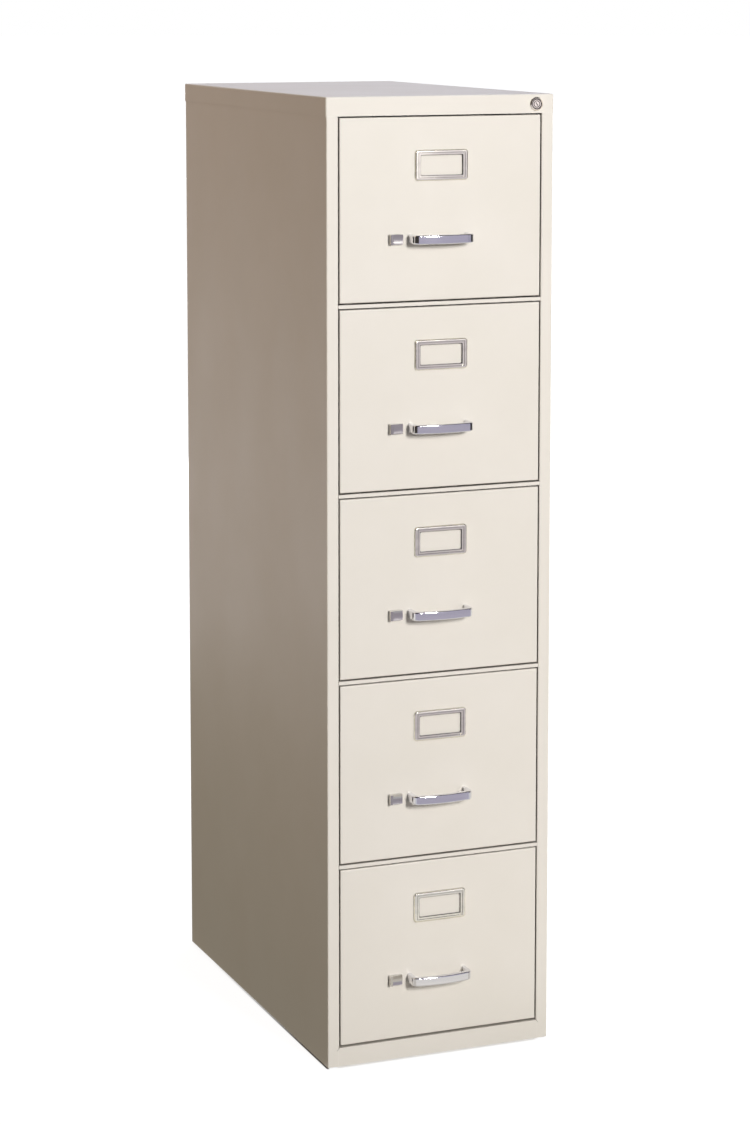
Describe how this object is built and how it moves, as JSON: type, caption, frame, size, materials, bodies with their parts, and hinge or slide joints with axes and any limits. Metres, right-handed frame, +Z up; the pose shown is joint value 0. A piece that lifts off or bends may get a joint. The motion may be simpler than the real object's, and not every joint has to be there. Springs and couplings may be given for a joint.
{
  "type": "filing cabinet",
  "caption": "Tall letter-width vertical filing cabinet with stacked telescoping drawers, bow pulls, thumb latches, label holders, follower blocks and a lock that blocks them all.",
  "frame": {"origin": "on the floor, under the middle of the outline from the front of the pulls to the back", "axes": "the front with its pulls faces -Y, +X is to the right as seen from the front, +Z is up"},
  "size_m": [0.381, 0.706, 1.524],
  "materials": {
    "case_paint": "semi-gloss baked enamel, warm putty",
    "drawer_paint": "semi-gloss baked enamel, warm putty",
    "chrome_plate": "polished plating",
    "galvanized_steel": "zinc plated",
    "black_rubber": "matt"
  },
  "bodies": {
    "cabinet": {"left_side_panel": "case_paint", "right_side_panel": "case_paint", "back_panel": "case_paint", "top_cap": "case_paint", "lock_channel": "case_paint", "bottom_rail": "case_paint", "cross_rails": "case_paint", "base_pan": "case_paint", "glides": "black_rubber", "front_uprights": "galvanized_steel", "rear_uprights": "galvanized_steel", "case_runners": "galvanized_steel", "slide_bumpers": "black_rubber", "lock_housing": "chrome_plate", "lock_bar_guides": "galvanized_steel"},
    "lock_core": {"lock_plug": "chrome_plate", "lock_cam": "galvanized_steel"},
    "lock_bar": {"lock_bar": "galvanized_steel"},
    "drawer_1": {"drawer_front_1": "drawer_paint", "drawer_tray_1": "drawer_paint", "drawer_runners_1": "galvanized_steel", "pull_handle_1": "chrome_plate", "label_holder_1": "chrome_plate"},
    "slide_1": {"middle_runners_1": "galvanized_steel"},
    "latch_1": {"thumb_latch_1": "chrome_plate"},
    "follower_1": {"follower_block_1": "galvanized_steel"},
    "drawer_2": {"drawer_front_2": "drawer_paint", "drawer_tray_2": "drawer_paint", "drawer_runners_2": "galvanized_steel", "pull_handle_2": "chrome_plate", "label_holder_2": "chrome_plate"},
    "slide_2": {"middle_runners_2": "galvanized_steel"},
    "latch_2": {"thumb_latch_2": "chrome_plate"},
    "follower_2": {"follower_block_2": "galvanized_steel"},
    "drawer_3": {"drawer_front_3": "drawer_paint", "drawer_tray_3": "drawer_paint", "drawer_runners_3": "galvanized_steel", "pull_handle_3": "chrome_plate", "label_holder_3": "chrome_plate"},
    "slide_3": {"middle_runners_3": "galvanized_steel"},
    "latch_3": {"thumb_latch_3": "chrome_plate"},
    "follower_3": {"follower_block_3": "galvanized_steel"},
    "drawer_4": {"drawer_front_4": "drawer_paint", "drawer_tray_4": "drawer_paint", "drawer_runners_4": "galvanized_steel", "pull_handle_4": "chrome_plate", "label_holder_4": "chrome_plate"},
    "slide_4": {"middle_runners_4": "galvanized_steel"},
    "latch_4": {"thumb_latch_4": "chrome_plate"},
    "follower_4": {"follower_block_4": "galvanized_steel"},
    "drawer_5": {"drawer_front_5": "drawer_paint", "drawer_tray_5": "drawer_paint", "drawer_runners_5": "galvanized_steel", "pull_handle_5": "chrome_plate", "label_holder_5": "chrome_plate"},
    "slide_5": {"middle_runners_5": "galvanized_steel"},
    "latch_5": {"thumb_latch_5": "chrome_plate"},
    "follower_5": {"follower_block_5": "galvanized_steel"}
  },
  "joints": [
    {"name": "lock_turn", "type": "hinge", "parent": "cabinet", "child": "lock_core", "pos_m": [0.1605, -0.32, 1.5084], "axis": [0, -1, 0], "range_deg": [0, 90]},
    {"name": "lock_bar_lift", "type": "slide", "parent": "cabinet", "child": "lock_bar", "axis": [0, 0, 1], "range_m": [0, 0.01131]},
    {"name": "drawer_1_slide", "type": "slide", "parent": "cabinet", "child": "drawer_1", "axis": [0, -1, 0], "range_m": [0, 0.61]},
    {"name": "slide_1_half_travel", "type": "slide", "parent": "cabinet", "child": "slide_1", "axis": [0, -1, 0], "range_m": [0, 0.305]},
    {"name": "latch_1_press", "type": "slide", "parent": "drawer_1", "child": "latch_1", "axis": [1, 0, 0], "range_m": [0, 0.006], "stiffness_N_per_m": 300, "springref_m": -0.004},
    {"name": "follower_1_slide", "type": "slide", "parent": "drawer_1", "child": "follower_1", "axis": [0, -1, 0], "range_m": [0, 0.47]},
    {"name": "drawer_2_slide", "type": "slide", "parent": "cabinet", "child": "drawer_2", "axis": [0, -1, 0], "range_m": [0, 0.61]},
    {"name": "slide_2_half_travel", "type": "slide", "parent": "cabinet", "child": "slide_2", "axis": [0, -1, 0], "range_m": [0, 0.305]},
    {"name": "latch_2_press", "type": "slide", "parent": "drawer_2", "child": "latch_2", "axis": [1, 0, 0], "range_m": [0, 0.006], "stiffness_N_per_m": 300, "springref_m": -0.004},
    {"name": "follower_2_slide", "type": "slide", "parent": "drawer_2", "child": "follower_2", "axis": [0, -1, 0], "range_m": [0, 0.47]},
    {"name": "drawer_3_slide", "type": "slide", "parent": "cabinet", "child": "drawer_3", "axis": [0, -1, 0], "range_m": [0, 0.61]},
    {"name": "slide_3_half_travel", "type": "slide", "parent": "cabinet", "child": "slide_3", "axis": [0, -1, 0], "range_m": [0, 0.305]},
    {"name": "latch_3_press", "type": "slide", "parent": "drawer_3", "child": "latch_3", "axis": [1, 0, 0], "range_m": [0, 0.006], "stiffness_N_per_m": 300, "springref_m": -0.004},
    {"name": "follower_3_slide", "type": "slide", "parent": "drawer_3", "child": "follower_3", "axis": [0, -1, 0], "range_m": [0, 0.47]},
    {"name": "drawer_4_slide", "type": "slide", "parent": "cabinet", "child": "drawer_4", "axis": [0, -1, 0], "range_m": [0, 0.61]},
    {"name": "slide_4_half_travel", "type": "slide", "parent": "cabinet", "child": "slide_4", "axis": [0, -1, 0], "range_m": [0, 0.305]},
    {"name": "latch_4_press", "type": "slide", "parent": "drawer_4", "child": "latch_4", "axis": [1, 0, 0], "range_m": [0, 0.006], "stiffness_N_per_m": 300, "springref_m": -0.004},
    {"name": "follower_4_slide", "type": "slide", "parent": "drawer_4", "child": "follower_4", "axis": [0, -1, 0], "range_m": [0, 0.47]},
    {"name": "drawer_5_slide", "type": "slide", "parent": "cabinet", "child": "drawer_5", "axis": [0, -1, 0], "range_m": [0, 0.61]},
    {"name": "slide_5_half_travel", "type": "slide", "parent": "cabinet", "child": "slide_5", "axis": [0, -1, 0], "range_m": [0, 0.305]},
    {"name": "latch_5_press", "type": "slide", "parent": "drawer_5", "child": "latch_5", "axis": [1, 0, 0], "range_m": [0, 0.006], "stiffness_N_per_m": 300, "springref_m": -0.004},
    {"name": "follower_5_slide", "type": "slide", "parent": "drawer_5", "child": "follower_5", "axis": [0, -1, 0], "range_m": [0, 0.47]}
  ],
  "couplings": [
    {"joint": "lock_turn", "follows": "lock_bar_lift", "rad_per_m": 138.88},
    {"joint": "slide_1_half_travel", "follows": "drawer_1_slide", "ratio": 0.5},
    {"joint": "slide_2_half_travel", "follows": "drawer_2_slide", "ratio": 0.5},
    {"joint": "slide_3_half_travel", "follows": "drawer_3_slide", "ratio": 0.5},
    {"joint": "slide_4_half_travel", "follows": "drawer_4_slide", "ratio": 0.5},
    {"joint": "slide_5_half_travel", "follows": "drawer_5_slide", "ratio": 0.5}
  ]
}
